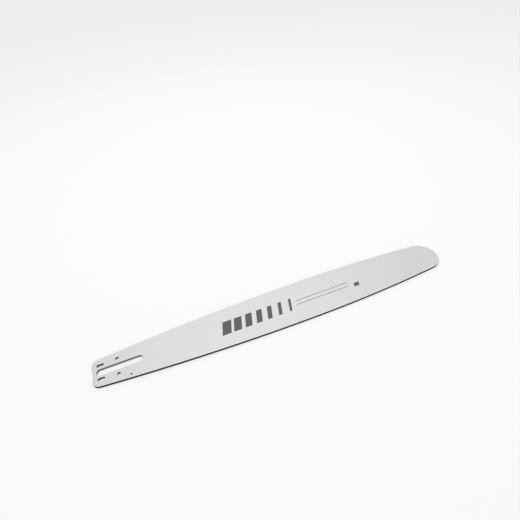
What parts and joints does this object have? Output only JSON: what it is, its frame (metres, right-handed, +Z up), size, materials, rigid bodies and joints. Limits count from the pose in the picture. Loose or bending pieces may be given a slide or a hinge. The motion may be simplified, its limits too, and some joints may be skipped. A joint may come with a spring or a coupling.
{
  "type": "chainsaw guide bar",
  "caption": "Solid steel hard-nose guide bar for a chainsaw, with a chain groove round its edge, a stud slot, tensioner holes and oil inlets.",
  "frame": {"origin": "under the middle of the blade, on the lower face that it lies on", "axes": "+X along the blade from the tail to the nose, +Y across the blade, +Z up through its thickness"},
  "size_m": [0.6999, 0.09, 0.005],
  "materials": {
    "blade_steel": "fine satin blasted faces, darker hardened rails"
  },
  "bodies": {
    "root": {"guide_bar": "blade_steel"}
  },
  "joints": []
}
